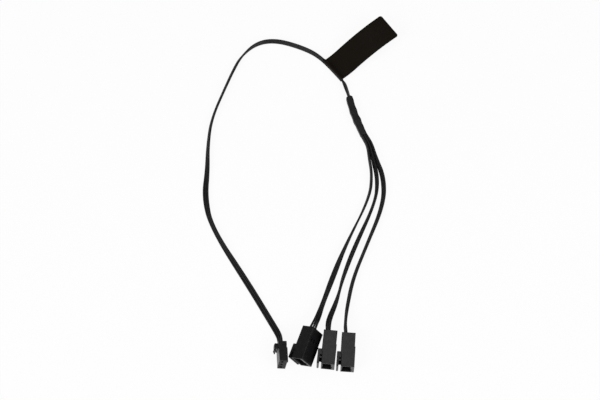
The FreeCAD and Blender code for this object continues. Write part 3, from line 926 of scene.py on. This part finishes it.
class SPLITTER_OT_label(bpy.types.Operator):
    """Makes the flag label, a film folded round the long lead"""

    bl_idname = "splitter.label"
    bl_label = "Flag label"

    def execute(self, context):
        sizes = settings().label
        across = UP.cross(LABEL_RUN)
        beside = self.lead_beside(across, sizes.width)
        bm = bmesh.new()
        bmesh.ops.create_grid(bm, x_segments=LABEL_CELLS[0], y_segments=LABEL_CELLS[1], size=1.0)
        for face in bm.faces:
            face.smooth = True
        for vertex in bm.verts:
            flag, out, up = self.fold(vertex.co.x, sizes)
            wide = sizes.width / 2
            left = sizes.length - flag
            if left < sizes.corner:
                wide -= sizes.corner - math.sqrt(max(0.0, sizes.corner**2 - (sizes.corner - left) ** 2))
            run = vertex.co.y * wide
            hold = max(0.0, 1.0 - flag / (STRAIGHTENING * sizes.length)) ** 2
            out += hold * self.sideways(beside, run)
            turn = sizes.twist * flag / sizes.length
            up -= run * math.sin(turn)
            run *= math.cos(turn)
            vertex.co = LABEL_MIDDLE + LABEL_RUN * run + across * out + UP * up
        bmesh.ops.recalc_face_normals(bm, faces=bm.faces[:])
        piece = mesh_object("flag_film", bm, label_film("label_film", settings().finish.label))
        add_wall(piece, sizes.film, offset=0.0)
        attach(piece, BODY)
        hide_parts("flag_label")
        return {"FINISHED"}

    def lead_beside(self, across, reach):
        """Points of the long lead near the wrap, as distances along and beside a straight line through it."""
        points = [point - LABEL_MIDDLE for point in spline_points([row[:3] for row in LONG_ROUTE])]
        rows = [(point.dot(LABEL_RUN), point.dot(across)) for point in points]
        return sorted(row for row in rows if abs(row[0]) < reach and abs(row[1]) < reach)

    def sideways(self, beside, run):
        """How far the lead lies beside the straight line through the wrap."""
        for (start, first), (end, second) in zip(beside, beside[1:]):
            if start <= run <= end:
                return first + (second - first) * (run - start) / (end - start)
        raise ValueError("the label reaches past the part of the lead that it is folded round")

    def fold(self, share, sizes):
        """Place of a point of the flat film once it is folded: distance along the flag, outwards and up."""
        wires = settings().lead
        layer = math.copysign(1.0, share)
        half = wires.wire_diameter / 2 + sizes.clear
        straight = wires.wire_pitch
        turned = math.pi * half
        fall = straight - sizes.pinch
        wrap = straight + turned + fall + sizes.pinch * math.pi / 2
        if abs(share) < LABEL_WRAP_CELLS:
            left = wrap * abs(share) / LABEL_WRAP_CELLS
            if left < straight:
                return 0.0, -half, layer * left
            left -= straight
            if left < turned:
                angle = math.pi - left / half
                return 0.0, half * math.cos(angle), layer * (straight + half * math.sin(angle))
            left -= turned
            if left < fall:
                return 0.0, half, layer * (straight - left)
            angle = math.pi + (left - fall) / sizes.pinch
            return (
                0.0,
                half + sizes.pinch * (1.0 + math.cos(angle)),
                layer * (sizes.film / 2 + sizes.pinch * (1.0 + math.sin(angle))),
            )
        short = (1.0 - abs(share)) / (1.0 - LABEL_WRAP_CELLS)
        flag = sizes.length * (1.0 - short**LABEL_CELL_POWER)
        slope = min(max(0.0, (flag - sizes.level) / sizes.bend), sizes.rise)
        out = half + sizes.pinch + min(flag, sizes.level) + sizes.bend * math.sin(slope)
        up = sizes.bend * (1.0 - math.cos(slope))
        rest = max(0.0, flag - sizes.level - sizes.bend * sizes.rise)
        eased = sizes.rise - rest / sizes.arch
        out += sizes.arch * (math.sin(sizes.rise) - math.sin(eased))
        up += sizes.arch * (math.cos(eased) - math.cos(sizes.rise))
        slope -= rest / sizes.arch
        lift = layer * sizes.film / 2
        return flag, out - lift * math.sin(slope), up + lift * math.cos(slope)


class SPLITTER_OT_housings(bpy.types.Operator):
    """Finishes the plug's and the sockets' mouldings"""

    bl_idname = "splitter.housings"
    bl_label = "Connector housings"

    def execute(self, context):
        plastic = moulded_plastic("housing_plastic", settings().finish.housing)
        dress(["plug_housing"] + [f"{side}_socket_housing" for side in SOCKETS], plastic)
        return {"FINISHED"}


class SPLITTER_OT_contacts(bpy.types.Operator):
    """Finishes the contacts, the soldered joints and their covers"""

    bl_idname = "splitter.contacts"
    bl_label = "Contacts and joints"

    def execute(self, context):
        colours = settings().finish
        plate = tin_plate("tin_plate", colours.metal)
        for connector in ("plug", *SOCKETS):
            dress(contact_nodes(connector), plate)
        dress([f"splice_joint_{number}" for number in NUMBERS], plate)
        dress([f"joint_cover_{number}" for number in NUMBERS], shrunk_film("cover_film", colours.film))
        return {"FINISHED"}


class SPLITTER_PT_cable(bpy.types.Panel):
    """Lists the cable's pieces and their settings"""

    bl_idname = "SPLITTER_PT_cable"
    bl_label = "Splitter cable"
    bl_space_type = "VIEW_3D"
    bl_region_type = "UI"
    bl_category = "Splitter"

    def draw(self, context):
        layout = self.layout
        values = context.scene.splitter_cable
        for operator in PIECES:
            layout.operator(operator.bl_idname)
        for group in (values.lead, values.sleeve, values.label, values.finish, values.stage):
            box = layout.box()
            for name in group.bl_rna.properties.keys():
                if name not in ("rna_type", "name"):
                    box.prop(group, name)


GROUPS = (LeadSettings, SleeveSettings, LabelSettings, FinishSettings, StageSettings, CableSettings)
PIECES = (
    SPLITTER_OT_stage,
    SPLITTER_OT_leads,
    SPLITTER_OT_sleeve,
    SPLITTER_OT_label,
    SPLITTER_OT_housings,
    SPLITTER_OT_contacts,
)
CLASSES = (*GROUPS, *PIECES, SPLITTER_PT_cable)


def register():
    """Registers the classes and the scene's settings."""
    for each in CLASSES:
        bpy.utils.register_class(each)
    bpy.types.Scene.splitter_cable = bpy.props.PointerProperty(type=CableSettings)


def unregister():
    """Takes the settings and the classes away again."""
    del bpy.types.Scene.splitter_cable
    for each in reversed(CLASSES):
        bpy.utils.unregister_class(each)


def main():
    """Makes every piece in order."""
    register()
    bpy.ops.splitter.stage()
    bpy.ops.splitter.leads()
    bpy.ops.splitter.sleeve()
    bpy.ops.splitter.label()
    bpy.ops.splitter.housings()
    bpy.ops.splitter.contacts()


if __name__ == "__main__":
    main()
